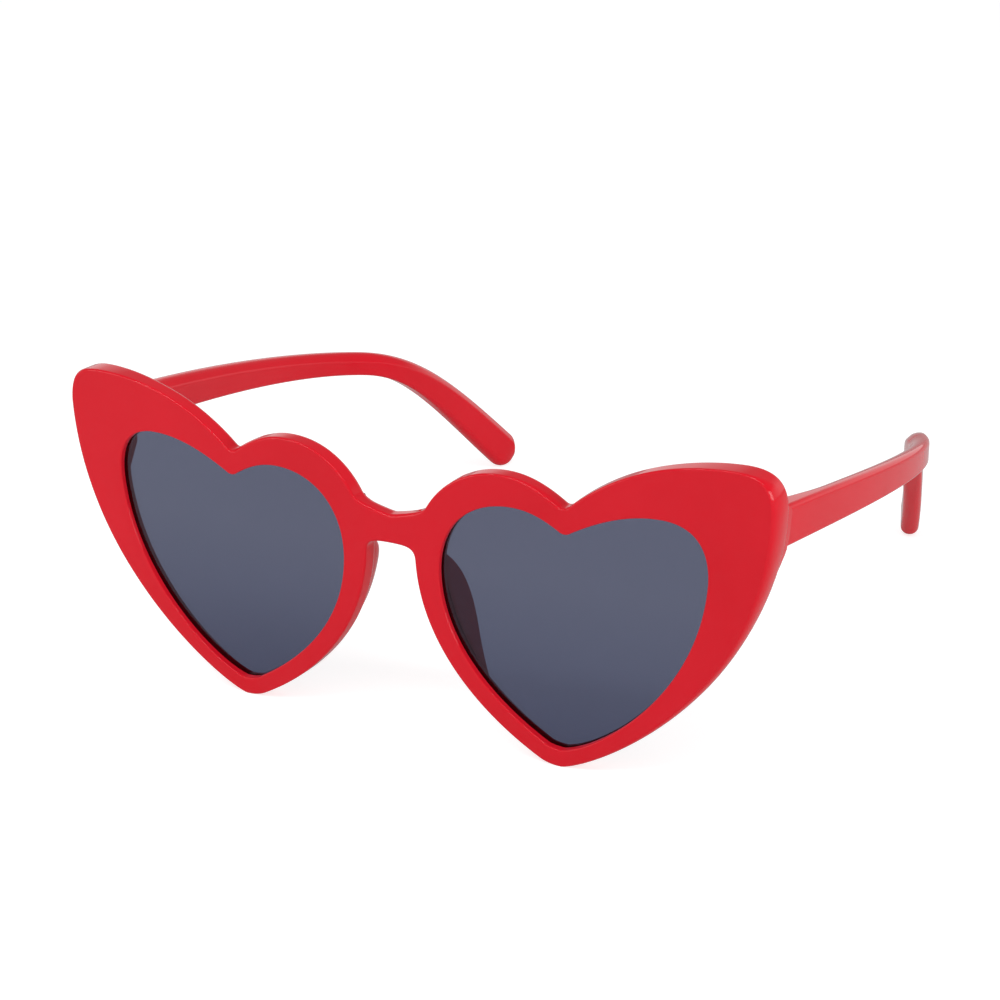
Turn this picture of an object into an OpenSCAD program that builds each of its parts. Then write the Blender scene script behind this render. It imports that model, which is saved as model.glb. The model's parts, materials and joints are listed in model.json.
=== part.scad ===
/* [Front] */
// Width across both hearts
front_w = 151; // [144:1:158]
// Height of a heart, from its tip to the top of its wing
heart_h = 62.8; // [61:0.5:68]
// Gap between the hearts under the bridge
heart_gap = 10.6; // [9:0.2:13]
// Thickness of the moulded front
front_t = 4.2; // [4:0.1:5]
// Angle that each heart turns back from the middle, in degrees
wrap = 1.7; // [0:0.5:6]
// Rounding of the outer edge, front side
edge_r = 1.3; // [0.8:0.1:1.8]
// Rounding of the front's outer sides, by the hinges
side_r = 2; // [1.2:0.1:2.4]
// How much deeper the front is at its outer sides, by the hinges
side_rise = 2.6; // [0:0.1:3]
// How far round a hinge the front is deeper
side_reach = 26; // [20:1:30]
// Rounding of the outer edge, back side
back_r = 0.9; // [0.5:0.1:1.2]

/* [Lens openings] */
// Width of a lens opening
open_w = 52.8; // [50:0.5:55]
// Height of a lens opening
open_h = 48.4; // [46:0.2:50]
// Rim between the opening and the heart's edge on the nose side
rim_nose = 5.1; // [4.4:0.1:6.5]
// Rim under the opening at the heart's tip
rim_tip = 3.5; // [2.4:0.1:4]
// Bevel along the edges of a lens opening
open_bevel = 0.4; // [0.2:0.05:0.6]

/* [Lenses] */
// Thickness of a lens
lens_t = 1.6; // [1.4:0.1:1.8]
// Radius that a lens is domed to
lens_dome_r = 520; // [400:10:900]
// Depth of the middle of a lens behind the front face
lens_set = 1.1; // [0.9:0.1:1.4]
// Depth of the groove that holds a lens
groove_d = 1; // [0.7:0.1:1.3]
// Play of a lens in its groove, on every side
lens_play = 0.06; // [0.03:0.01:0.12]

/* [Bridge] */
// Height of the bridge's top at its middle, from the hearts' tips
bridge_top = 44; // [42:0.5:46]
// Height of the bridge at its middle
bridge_h = 5.4; // [4.5:0.1:7]
// Rise of the bridge's top where it ends inside a heart
bridge_rise = 2.6; // [1:0.1:3]
// Drop of the bridge's underside where it ends inside a heart
bridge_drop = 2.4; // [1:0.1:3]
// Rounding of the bridge's edges
bridge_r = 1.2; // [0.6:0.1:1.6]
// How far the bridge's faces stand in from the hearts' faces
bridge_set = 0.2; // [0.1:0.05:0.5]

/* [Nose pads] */
// How far a nose pad stands behind the front's back
pad_depth = 5; // [3.5:0.1:6.5]

/* [End pieces] */
// Width of the end piece that stands back from a heart's outer side
land_w = 11.4; // [11:0.1:11.8]
// Height of the end piece
land_h = 8.6; // [8.2:0.2:11]
// How far the end piece stands behind the front's back
land_rise = 3.4; // [2:0.1:4]
// How far the end piece's side stands in from the heart's edge
land_set = 0.05; // [0.02:0.01:0.2]

/* [Temples] */
// Depth from the bridge to the middle of a temple's round tip
reach = 145.5; // [138:0.5:152]
// Depth from the bridge to the start of the ear bend
bend_at = 101; // [94:1:106]
// Height of the temple's centre line at the ear bend
bend_z = 37.3; // [35:0.5:40]
// Height of the hearts' tops above the middle of the hinges
hinge_drop = 11.8; // [10.8:0.2:12.8]
// Thickness of a temple
temple_t = 4.2; // [3.8:0.1:4.6]
// Height of a temple at the hinge
root_h = 7.7; // [7.6:0.1:9]
// Height of a temple at the start of the ear bend
waist_h = 5.1; // [4.4:0.1:6]
// Height of the paddle at the tip
paddle_h = 8.4; // [7:0.1:9.4]
// Rounding of a temple's outer edges
temple_r = 1.5; // [0.8:0.1:1.8]
// Rounding of a temple's inner edges
inner_r = 0.7; // [0.4:0.1:1]
// Angle at which a temple leaves the hinge, outwards, in degrees
splay = 6; // [4:0.5:9]
// Angle at which it dips there
root_dip = 4.5; // [3:0.1:7]
// How far the ear bend stands out from the hinge pin
bend_out = 1.1; // [0:0.1:3]
// Angle at which a temple turns in at the start of the ear bend
bend_turn = 23; // [16:1:28]
// Angle at which it dips there
bend_dip = 11.5; // [9:0.5:14]
// How far the tip stands in from the hinge pin
tip_in = 13.1; // [10:0.2:16]
// Angle at which the tip turns in
tip_turn = 20; // [12:0.5:22]
// Angle at which the tip dips
tip_dip = 43.8; // [38:0.2:50]
// Gap between a temple's end and the land
butt_gap = 0.25; // [0.2:0.05:0.5]

/* [Hinges] */
// Distance of the hinge pin from the heart's outer edge
pin_inset = 7.7; // [7.4:0.1:8]
// Knuckles in one hinge, an odd number
knuckles = 3; // [3:2:5]
// Height of the whole hinge barrel
barrel_h = 6; // [5:0.1:6.4]
// Radius of the hinge barrel
barrel_r = 1.6; // [1.5:0.05:1.7]
// Gap between the barrel and the plastic beside it
barrel_gap = 0.5; // [0.4:0.05:0.6]
// Radius of the screw's shank
screw_r = 0.7; // [0.6:0.02:0.8]
// Running play between a knuckle and the screw
screw_play = 0.04; // [0.02:0.01:0.08]
// Gap between neighbouring knuckles
knuckle_gap = 0.12; // [0.08:0.01:0.2]
// Thickness of a hinge leaf
leaf_t = 1; // [0.8:0.05:1.2]
// Width of the leaf in the land
leaf_w = 4.4; // [4:0.1:4.6]
// Length of the leaf on a temple, from the pin
leaf_l = 10; // [9:0.1:12]
// Height of the leaf on a temple
leaf_h = 4.4; // [4:0.1:4.8]
// Radius of the pegs that anchor a leaf
peg_r = 0.6; // [0.4:0.05:0.7]
// Length of the pegs
peg_l = 1.6; // [1.2:0.1:2]
// Play of a leaf in its pocket
pocket_play = 0.04; // [0.02:0.01:0.06]
// Radius of the screw's head
head_r = 1.25; // [1.1:0.05:1.4]
// Height of the screw's head
head_h = 0.8; // [0.7:0.05:1]
// Width of the slot in the screw's head
slot_w = 0.4; // [0.3:0.05:0.5]
// Depth of the slot
slot_d = 0.4; // [0.3:0.05:0.5]

/* [Hidden] */

// Overrun of every cut past the faces it opens
cut = 1;
// Steps along each stretch of a heart, one number per stretch
heart_steps = [6, 10, 12, 6, 12, 8, 10, 4];
// Steps of a round edge
edge_steps = 4;
// Steps along each stretch of a temple
temple_steps = [14, 16];
// Steps of the temple's round tip
tip_steps = 8;
// Steps round a lens's dome, a hinge part and a peg
dome_steps = 300;
round_steps = 48;
peg_steps = 32;

// Height of the middle of the hinges
hinge_z = heart_h - hinge_drop;

// Width of one heart along its own face
heart_w = (front_w - heart_gap) / 2 / cos(wrap);

// One heart's outline, as shares of its width and height. Each row is a stretch:
// two handles and the point where it ends. The rows run from the cleft over the
// small lobe, down the nose side, round the tip, up the outer side and over the wing.
heart_start_share = [0.421, 0.819];
heart_shares = [
    [[0.378, 0.852], [0.322, 0.886], [0.254, 0.886]],
    [[0.099, 0.886], [0.000, 0.742], [0.000, 0.602]],
    [[0.000, 0.341], [0.158, 0.138], [0.362, 0.015]],
    [[0.385, 0.002], [0.405, 0.000], [0.425, 0.000]],
    [[0.506, 0.003], [0.986, 0.308], [1.000, 0.880]],
    [[1.000, 0.980], [0.950, 1.000], [0.880, 1.000]],
    [[0.690, 1.000], [0.546, 0.920], [0.447, 0.821]],
    [[0.440, 0.814], [0.429, 0.812], [0.421, 0.819]]];

// One lens opening's outline, as shares of its own width and height, in the same order
open_start_share = [0.461, 0.890];
open_shares = [
    [[0.399, 0.932], [0.344, 0.954], [0.280, 0.954]],
    [[0.121, 0.954], [0.000, 0.838], [0.000, 0.640]],
    [[0.001, 0.371], [0.181, 0.155], [0.415, 0.010]],
    [[0.437, 0.002], [0.455, 0.000], [0.475, 0.000]],
    [[0.616, 0.034], [0.973, 0.328], [1.000, 0.780]],
    [[1.006, 0.935], [0.936, 1.003], [0.820, 1.000]],
    [[0.699, 0.998], [0.590, 0.943], [0.504, 0.890]],
    [[0.492, 0.880], [0.473, 0.880], [0.461, 0.890]]];

// A nose pad, from its foot to its top. Each row: height as a share of the heart's
// height; nose side and lens side at the root, then at the crest, as shares of the
// heart's width; and how far it stands back, as a share of the pad's depth
pad_shares = [
    [0.200, 0.155, 0.195, 0.160, 0.181, 0.06],
    [0.246, 0.122, 0.165, 0.129, 0.158, 0.26],
    [0.302, 0.092, 0.133, 0.100, 0.139, 0.60],
    [0.365, 0.067, 0.103, 0.076, 0.130, 0.88],
    [0.430, 0.045, 0.080, 0.056, 0.118, 1.00],
    [0.492, 0.030, 0.069, 0.037, 0.099, 0.92],
    [0.540, 0.020, 0.065, 0.024, 0.076, 0.60],
    [0.580, 0.013, 0.063, 0.016, 0.056, 0.10]];

// A point on a curve with two handles
function curve(a, b, c, d, t) =
    pow(1 - t, 3) * a + 3 * pow(1 - t, 2) * t * b + 3 * (1 - t) * t * t * c + t * t * t * d;

// A chain of such curves, as points, without the last one
function chain(start, rows, steps) = [
    for (i = [0:len(rows) - 1])
        let (a = i == 0 ? start : rows[i - 1][2])
        for (k = [0:steps[i] - 1]) curve(a, rows[i][0], rows[i][1], rows[i][2], k / steps[i])];

// Shares turned into lengths
function sized(points, w, h) = [for (p = points) [p[0] * w, p[1] * h]];

// Directions that point out of a closed outline
function unit(v) = v / norm(v);
function normals(points) = let (n = len(points)) [
    for (i = [0:n - 1])
        let (t = unit(points[(i + 1) % n] - points[(i + n - 1) % n])) [-t[1], t[0]]];

// An outline moved in along its own normals
function inset(points, outward, by) = [
    for (i = [0:len(points) - 1]) points[i] - outward[i] * by];

heart_line = sized(chain(heart_start_share, heart_shares, heart_steps), heart_w, heart_h);
heart_out = -normals(heart_line);
open_line = [
    for (p = sized(chain(open_start_share, open_shares, heart_steps), open_w, open_h))
        p + [rim_nose, rim_tip]];
open_out = -normals(open_line);

// The outer edge is deeper near the hinge
function back_y(i) = front_t + side_rise
    * pow(max(0, 1 - pow(norm(heart_line[i] - [heart_w, hinge_z]) / side_reach, 2)), 2);
// The face's rounding grows where the outline faces sideways
function face_r(i) = edge_r + (side_r - edge_r) * pow(max(0, heart_out[i][0]), 2);

// Section of the rim at one place: points from the outer edge over the face to the
// opening and back
function rim_ring(i) = concat(
    [for (k = [0:edge_steps])
        let (a = 90 * k / edge_steps, p = heart_line[i] - heart_out[i] * face_r(i) * (1 - cos(a)))
        [p[0], face_r(i) * (1 - sin(a)), p[1]]],
    [for (k = [0:1])
        let (p = open_line[i] + open_out[i] * open_bevel * (1 - k))
        [p[0], open_bevel * k, p[1]]],
    [for (k = [0:1])
        let (p = open_line[i] + open_out[i] * open_bevel * k)
        [p[0], front_t - open_bevel * (1 - k), p[1]]],
    [for (k = [0:edge_steps / 2])
        let (a = 180 * k / edge_steps, p = heart_line[i] - heart_out[i] * back_r * (1 - sin(a)))
        [p[0], back_y(i) - back_r * (1 - cos(a)), p[1]]]);

rim_rings = [for (i = [0:len(heart_line) - 1]) rim_ring(i)];

// A solid skin over rings of points, closed round or capped at both ends
module skin(rings, round = false) {
    m = len(rings[0]);
    n = len(rings);
    last = round ? n - 1 : n - 2;
    sides = [
        for (i = [0:last], k = [0:m - 1])
            let (a = i * m + k, b = i * m + (k + 1) % m,
                 c = (i + 1) % n * m + (k + 1) % m, d = (i + 1) % n * m + k)
            each [[a, b, c], [a, c, d]]];
    caps = round ? [] : [[for (k = [m - 1:-1:0]) k], [for (k = [0:m - 1]) (n - 1) * m + k]];
    polyhedron([for (r = rings) each r], concat(sides, caps), convexity = 6);
}

// Puts a shape made against one heart's own face where that heart stands
module on_heart() {
    translate([heart_gap / 2, 0, 0]) rotate([0, 0, wrap]) children();
}

// Prism over one lens opening, its edge moved out into the rim, from the front face back
module opening_prism(out_by) {
    translate([0, front_t + cut, 0]) rotate([90, 0, 0])
        linear_extrude(front_t + cut) polygon(inset(open_line, -open_out, out_by));
}

// A slice of the lens's dome, with play added on every side
module dome(play) {
    translate([rim_nose + open_w / 2, lens_set + lens_dome_r, rim_tip + open_h / 2])
        difference() {
            sphere(lens_dome_r + play, $fn = dome_steps);
            sphere(lens_dome_r - lens_t - play, $fn = dome_steps);
        }
}

module lens_blank(play = 0) {
    on_heart() intersection() {
        opening_prism(groove_d - lens_play + play);
        dome(play);
    }
}

// Where the bridge ends inside a heart, as a share of its nose side rim
bridge_end_share = 0.6;
bridge_end = heart_gap / 2 + rim_nose * bridge_end_share;

// A rounded rectangle as points round [across, up], with a rounding for each side
function round_box(x0, x1, z0, z1, r0, r1, steps) = [
    for (c = [[x1, z0, r1, -90], [x1, z1, r1, 0], [x0, z1, r0, 90], [x0, z0, r0, 180]])
        let (mx = c[0] == x1 ? x1 - c[2] : x0 + c[2], mz = c[1] == z1 ? z1 - c[2] : z0 + c[2])
        for (k = [0:steps]) [mx + c[2] * cos(c[3] + 90 * k / steps),
                             mz + c[2] * sin(c[3] + 90 * k / steps)]];

bridge_steps = 6;
corner_steps = 3;

module bridge() {
    skin([
        for (k = [-bridge_steps:bridge_steps])
            let (s = k / bridge_steps,
                 top = bridge_top + bridge_rise * s * s,
                 low = bridge_top - bridge_h - bridge_drop * pow(s, 4))
            [for (p = round_box(bridge_set, front_t - bridge_set, low, top,
                                bridge_r, bridge_r, corner_steps))
                [s * bridge_end, front_t - p[0], p[1]]]]);
}

pad_steps = 8;
// Depth of a pad's root inside the rim, and where its round crest starts
pad_root_share = 0.6;
pad_crest_share = 0.5;

module nose_pad() {
    on_heart() skin([
        for (row = pad_shares)
            let (z = row[0] * heart_h, depth = row[5] * pad_depth,
                 mid = (row[3] + row[4]) / 2 * heart_w, half = (row[4] - row[3]) / 2 * heart_w,
                 y = front_t + depth * pad_crest_share)
            concat(
                [[row[1] * heart_w, front_t * pad_root_share, z]],
                [for (k = [0:pad_steps])
                    let (a = 180 * k / pad_steps)
                    [mid - half * cos(a), y + depth * (1 - pad_crest_share) * sin(a), z]],
                [[row[2] * heart_w, front_t * pad_root_share, z]])]);
}

// The hinge pin's place, and the back face of the land
pin_x = front_w / 2 - pin_inset;
land_y = (pin_x - heart_gap / 2) * tan(wrap) + front_t / cos(wrap) + land_rise;
pin_y = land_y + barrel_r + barrel_gap;

// The end piece carries the heart's own edge back, over its height
land_x = heart_w - land_w;
land_root = front_t - back_r - side_r / 2;
land_edge = [
    for (p = inset(heart_line, heart_out, land_set))
        if (p[0] > land_x && abs(p[1] - hinge_z) < land_h / 2) p];

module end_piece() {
    z0 = hinge_z - land_h / 2;
    z1 = hinge_z + land_h / 2;
    low = land_edge[0];
    high = land_edge[len(land_edge) - 1];
    difference() {
        on_heart() translate([0, land_root + front_w, 0]) rotate([90, 0, 0])
            linear_extrude(front_w)
                polygon(concat([[land_x, z1], [land_x, z0], [low[0], z0]], land_edge, [[high[0], z1]]));
        translate([0, land_y, z0 - cut])
            cube([front_w, 2 * front_w, land_h + 2 * cut]);
    }
}

// Knuckle k of a hinge, counted from the bottom; even ones belong to the front
knuckle_h = barrel_h / knuckles;
barrel_z = hinge_z - barrel_h / 2;

module at_pin() {
    translate([pin_x, pin_y, 0]) children();
}

// Half width of a knuckle's web, as a share of the barrel's radius
knuckle_web_share = 0.8;

// A knuckle and the web that joins it to its leaf, web_l long towards -Y
module knuckle(k, web_l) {
    z0 = barrel_z + k * knuckle_h + knuckle_gap / 2;
    h = knuckle_h - knuckle_gap;
    translate([0, 0, z0]) {
        cylinder(r = barrel_r, h = h, $fn = round_steps);
        translate([-barrel_r * knuckle_web_share, -web_l, 0])
            cube([2 * barrel_r * knuckle_web_share, web_l, h]);
    }
}

module pin_bore() {
    translate([0, 0, barrel_z - cut])
        cylinder(r = screw_r + screw_play, h = barrel_h + 2 * cut, $fn = round_steps);
}

// How far the face that a leaf lies on is from the pin's axis
face_gap = barrel_r + barrel_gap;

// A leaf lying on a face at -Y of the pin: its plate, sunk by its own thickness,
// from x0 to x1 and h high, with two pegs behind it
module leaf_plate(x0, x1, h, pegs, play = 0) {
    over = play > 0 ? cut : 0;
    translate([x0 - play, -face_gap - leaf_t - play, hinge_z - h / 2 - play])
        cube([x1 - x0 + 2 * play, leaf_t + play + over, h + 2 * play]);
    for (p = pegs)
        translate([p[0], -face_gap - leaf_t, p[1]]) rotate([90, 0, 0])
            translate([0, 0, -leaf_t / 2])
                cylinder(r = peg_r + play, h = peg_l + leaf_t / 2 + play, $fn = peg_steps);
}

// Each leaf's pegs as [along the face, height]
leaf_x1 = barrel_r;
leaf_x0 = leaf_x1 - leaf_w;
front_pegs = [for (s = [-1, 1]) [(leaf_x0 + leaf_x1) / 2, hinge_z + s * barrel_h / 4]];
peg_shares = [0.45, 0.82];
temple_pegs = [for (s = peg_shares) [leaf_l * s, hinge_z]];

module front_leaf() {
    at_pin() difference() {
        union() {
            leaf_plate(leaf_x0, leaf_x1, barrel_h, front_pegs);
            for (k = [0:2:knuckles - 1]) knuckle(k, face_gap + leaf_t / 2);
        }
        pin_bore();
    }
}

// The temple's side of the hinge, made with its face at -Y and turned to face the temple
module on_temple() {
    at_pin() rotate([0, 0, 90 - splay]) children();
}

module temple_leaf() {
    difference() {
        on_temple() union() {
            leaf_plate(-barrel_r * knuckle_web_share, leaf_l, leaf_h, temple_pegs);
            for (k = [1:2:knuckles - 1]) knuckle(k, face_gap + leaf_t / 2);
        }
        at_pin() pin_bore();
    }
}

module hinge_screw() {
    top = barrel_z + barrel_h + knuckle_gap / 2;
    at_pin() difference() {
        union() {
            translate([0, 0, barrel_z]) cylinder(r = screw_r, h = top - barrel_z + head_h / 2, $fn = round_steps);
            translate([0, 0, top]) cylinder(r = head_r, h = head_h, $fn = round_steps);
        }
        translate([-head_r - cut, -slot_w / 2, top + head_h - slot_d])
            cube([2 * (head_r + cut), slot_w, slot_d + cut]);
    }
}

// A temple's centre line: from just ahead of the hinge to the ear bend, then to the tip
function heading(out, dip) = [sin(out) * cos(dip), cos(out) * cos(dip), -sin(dip)];
root_dir = heading(splay, root_dip);
bend_dir = heading(-bend_turn, bend_dip);
tip_dir = heading(-tip_turn, tip_dip);
// How far the centre line starts ahead of the hinge, in thicknesses
root_lead_share = 2;
root_off = face_gap + temple_t / 2;
path_root = [pin_x + root_off * cos(splay), pin_y - root_off * sin(splay), hinge_z]
    - root_dir * temple_t * root_lead_share;
path_bend = [pin_x + bend_out, bend_at, bend_z];
path_tip = [pin_x - tip_in, reach, paddle_h / 2];
// Lengths of the curve handles, as shares of the straight distance between their ends
bow_share = 0.26;
bend_share = 0.3;
tip_share = 0.45;

// How far round its end the tip's sections go, in degrees
tip_angle = 84;
// How much thinner the tip's round end gets, and the most of a half section that a
// rounding may take up
tip_thin_share = 0.8;
round_limit_share = 0.9;

// Station on the centre line: [place, height, thickness]
function stretch(a, da, b, db, sa, sb, ha, hb, steps, last) =
    let (l = norm(b - a), ca = a + da * l * sa, cb = b - db * l * sb)
    [for (k = [0:steps - (last ? 0 : 1)])
        let (t = k / steps, blend = t * t * (3 - 2 * t))
        [curve(a, ca, cb, b, t), ha + (hb - ha) * blend, temple_t]];

temple_line = concat(
    stretch(path_root, root_dir, path_bend, bend_dir, bow_share, bow_share,
            root_h, waist_h, temple_steps[0], false),
    stretch(path_bend, bend_dir, path_tip, tip_dir, bend_share, tip_share,
            waist_h, paddle_h, temple_steps[1], true),
    [for (k = [1:tip_steps])
        let (a = tip_angle * k / tip_steps)
        [path_tip + tip_dir * paddle_h / 2 * sin(a), paddle_h * cos(a),
         temple_t * (1 - tip_thin_share * (1 - cos(a)))]]);
// Section of a temple at station i, square to its centre line
function temple_ring(i) =
    let (n = len(temple_line), here = temple_line[i],
         d = unit(temple_line[min(i + 1, n - 1)][0] - temple_line[max(i - 1, 0)][0]),
         across = unit(cross(d, [0, 0, 1])), up = cross(across, d),
         h = here[1] / 2, t = here[2] / 2,
         ro = min(temple_r, h * round_limit_share, t * round_limit_share),
         ri = min(inner_r, h * round_limit_share))
    [for (p = round_box(-t, t, -h, h, ri, ro, corner_steps)) here[0] + across * p[0] + up * p[1]];
temple_rings = [for (i = [0:len(temple_line) - 1]) temple_ring(i)];

module temple() {
    difference() {
        skin(temple_rings);
        translate([0, land_y + butt_gap - front_w, 0]) cube([front_w, front_w, front_w]);
        on_temple() leaf_plate(-2 * barrel_r, leaf_l, leaf_h, temple_pegs, pocket_play);
    }
}

// The part stands with its origin under the middle of its depth
depth_low = min([for (r = rim_rings) each [for (p = r) p[0] * sin(wrap) + p[1] * cos(wrap)]]);
depth_high = max([for (r = temple_rings) each [for (p = r) p[1]]]);

module place(side) {
    translate([0, -(depth_low + depth_high) / 2, 0]) mirror([side, 0, 0]) children();
}

red = "crimson";
steel = "lightsteelblue";
smoke = [0.25, 0.27, 0.32, 0.8];

module front_frame() {
    color(red) difference() {
        union() {
            for (side = [0, 1]) place(side) {
                on_heart() skin(rim_rings, true);
                nose_pad();
                end_piece();
            }
            place(0) bridge();
        }
        for (side = [0, 1]) place(side) {
            lens_blank(lens_play);
            at_pin() leaf_plate(leaf_x0, leaf_x1, barrel_h, front_pegs, pocket_play);
        }
    }
}

module lens_left() { color(smoke) place(0) lens_blank(); }
module lens_right() { color(smoke) place(1) lens_blank(); }
module temple_left() { color(red) place(0) temple(); }
module temple_right() { color(red) place(1) temple(); }
module front_leaf_left() { color(steel) place(0) front_leaf(); }
module front_leaf_right() { color(steel) place(1) front_leaf(); }
module temple_leaf_left() { color(steel) place(0) temple_leaf(); }
module temple_leaf_right() { color(steel) place(1) temple_leaf(); }
module hinge_screw_left() { color(steel) place(0) hinge_screw(); }
module hinge_screw_right() { color(steel) place(1) hinge_screw(); }

front_frame();
lens_left();
lens_right();
temple_left();
temple_right();
front_leaf_left();
front_leaf_right();
temple_leaf_left();
temple_leaf_right();
hinge_screw_left();
hinge_screw_right();
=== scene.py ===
import json
import math

import bmesh
import bpy
from mathutils import Matrix, Quaternion, Vector
from mathutils.geometry import interpolate_bezier


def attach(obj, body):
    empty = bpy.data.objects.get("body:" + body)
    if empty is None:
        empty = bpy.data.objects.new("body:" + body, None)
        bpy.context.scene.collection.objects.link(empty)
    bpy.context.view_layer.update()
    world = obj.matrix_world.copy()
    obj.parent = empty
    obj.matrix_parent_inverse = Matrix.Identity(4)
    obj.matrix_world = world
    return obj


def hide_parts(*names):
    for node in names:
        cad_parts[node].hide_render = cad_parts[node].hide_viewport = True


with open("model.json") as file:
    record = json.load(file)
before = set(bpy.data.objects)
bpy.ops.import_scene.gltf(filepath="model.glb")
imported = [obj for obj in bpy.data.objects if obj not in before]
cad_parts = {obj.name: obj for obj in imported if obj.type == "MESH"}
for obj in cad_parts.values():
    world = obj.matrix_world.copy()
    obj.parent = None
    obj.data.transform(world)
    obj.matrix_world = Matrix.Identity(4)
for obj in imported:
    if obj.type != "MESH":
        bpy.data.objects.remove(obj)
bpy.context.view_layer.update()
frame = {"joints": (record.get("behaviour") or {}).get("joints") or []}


# The view: a long lens in front of the glasses, towards the wearer's left and above them.
# The camera leans a little, as the photographer's did.
photo_from = Vector((0.194286, -0.388884, 0.183346))
photo_at = Vector((0.0235388, -0.0748604, 0.0511456))
photo_lean = math.radians(-0.675)
photo_lens, film_w = 76.72, 36
nearest_seen = 0.01

camera = bpy.data.objects.new("camera", bpy.data.cameras.new("camera"))
bpy.context.collection.objects.link(camera)
camera.data.sensor_width = film_w
camera.data.lens = photo_lens
camera.data.clip_start = nearest_seen
aim = (photo_at - photo_from).to_track_quat("-Z", "Y") @ Quaternion((0, 0, 1), photo_lean)
camera.matrix_world = Matrix.LocRotScale(photo_from, aim, None)
bpy.context.scene.camera = camera
bpy.context.scene.view_settings.view_transform = "Standard"


# The front: both heart rims, the bridge, the nose pads and the end pieces, moulded in one
# shot of glossy red plastic. One rounded edge runs round it without a break, and each lens
# opening has a softened edge and a groove that the lens snaps into. Sizes in millimetres.
mm = 0.001
front_w, heart_h = 151, 62.8
heart_gap = 10.6
front_t = 4.2
wrap = math.radians(1.7)
heart_w = (front_w - heart_gap) / 2 / math.cos(wrap)
bridge_set = 0.06
open_w, open_h = 52.8, 48.4
rim_nose, rim_tip = 5.1, 3.5

# The hinge pin on the wearer's left stands where the frame's joint has it. Depths are counted
# from the front's face at its middle, and the frame counts them from the object's own middle.
left_fold = next(joint for joint in frame["joints"] if joint["name"] == "temple_left_fold")
pin_x, pin_depth, hinge_z = (value / mm for value in left_fold["pos_m"])
land_rise, barrel_r, barrel_gap = 3.4, 1.6, 0.5
land_y = (pin_x - heart_gap / 2) * math.tan(wrap) + front_t / math.cos(wrap) + land_rise
face_gap = barrel_r + barrel_gap
pin_y = land_y + face_gap
depth_middle = pin_y - pin_depth

# Each row is one stretch of an outline, as shares of its width and height: two handles and the
# point where the stretch ends. The rows run from the cleft over the small lobe, down the nose
# side, round the tip, up the outer side and over the wing.
stretch_steps = [24, 40, 48, 24, 48, 32, 40, 16]
heart_start = (0.421, 0.819)
heart_rows = [
    ((0.378, 0.852), (0.322, 0.886), (0.254, 0.886)),
    ((0.099, 0.886), (0.000, 0.742), (0.000, 0.602)),
    ((0.000, 0.341), (0.158, 0.138), (0.362, 0.015)),
    ((0.385, 0.002), (0.405, 0.000), (0.425, 0.000)),
    ((0.506, 0.003), (0.986, 0.308), (1.000, 0.880)),
    ((1.000, 0.980), (0.950, 1.000), (0.880, 1.000)),
    ((0.690, 1.000), (0.546, 0.920), (0.447, 0.821)),
    ((0.440, 0.814), (0.429, 0.812), (0.421, 0.819)),
]
open_start = (0.461, 0.890)
open_rows = [
    ((0.399, 0.932), (0.344, 0.954), (0.280, 0.954)),
    ((0.121, 0.954), (0.000, 0.838), (0.000, 0.640)),
    ((0.001, 0.371), (0.181, 0.155), (0.415, 0.010)),
    ((0.437, 0.002), (0.455, 0.000), (0.475, 0.000)),
    ((0.616, 0.034), (0.973, 0.328), (1.000, 0.780)),
    ((1.006, 0.935), (0.936, 1.003), (0.820, 1.000)),
    ((0.699, 0.998), (0.590, 0.943), (0.504, 0.890)),
    ((0.492, 0.880), (0.473, 0.880), (0.461, 0.890)),
]


def outline(start, rows, width, height, at):
    """A closed outline in the front's own face, as points (x, 0, z), one curve to a row."""
    def spot(share):
        return Vector((at[0] + share[0] * width, 0, at[1] + share[1] * height))
    points = []
    here = spot(start)
    for (grip, far_grip, end), steps in zip(rows, stretch_steps):
        points += interpolate_bezier(here, spot(grip), spot(far_grip), spot(end), steps + 1)[:-1]
        here = spot(end)
    return points


def outward(points):
    """Directions that point out of a closed outline."""
    turns = [points[(i + 1) % len(points)] - points[i - 1] for i in range(len(points))]
    return [Vector((turn.z, 0, -turn.x)).normalized() for turn in turns]


heart_line = outline(heart_start, heart_rows, heart_w, heart_h, (heart_gap / 2, 0))
open_line = outline(open_start, open_rows, open_w, open_h, (heart_gap / 2 + rim_nose, rim_tip))
heart_out = outward(heart_line)
open_out = outward(open_line)


def soft_step(value):
    """0 to 1 with soft ends, for a value from 0 to 1."""
    value = min(max(value, 0), 1)
    return value * value * (3 - 2 * value)


wrap_early, wrap_run = 2.5, 4.0


def wrap_back(verts):
    """Turns each heart back from the middle, softly across the bridge."""
    for vert in verts:
        away = abs(vert.co.x) - heart_gap / 2
        part = soft_step((away + wrap_early) / wrap_run)
        turn = wrap * part
        x = heart_gap / 2 + away * math.cos(turn) - vert.co.y * math.sin(turn)
        y = away * math.sin(turn) + vert.co.y * math.cos(turn) + bridge_set * (1 - part)
        vert.co = Vector((math.copysign(x, vert.co.x), y, vert.co.z))


def new_verts(made):
    """The vertices among what a bmesh operator made."""
    return [v for v in made["geom"] if isinstance(v, bmesh.types.BMVert)]


def move_new(made, spots):
    """New vertices still lie on the ones they were drawn from: each goes to its own spot."""
    moved = new_verts(made)
    for vert in moved:
        vert.co = spots[tuple(vert.co)]
    return moved


# The rounded edges: the outer one is tight. Where the wing faces sideways it grows into a
# long soft crown that takes up most of the wall.
edge_r, nose_r, side_r, back_r, open_r, open_back_r = 0.42, 0.42, 1.3, 1.4, 0.3, 0.75
crown_depth = 4.4
least_wall = 0.1
face_r = [
    edge_r + ((side_r if way.x > 0 else nose_r) - edge_r) * way.x ** 2 for way in heart_out]
face_deep = [
    edge_r + (crown_depth - edge_r) * way.x ** 2 if way.x > 0 else r
    for way, r in zip(heart_out, face_r)]

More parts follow.
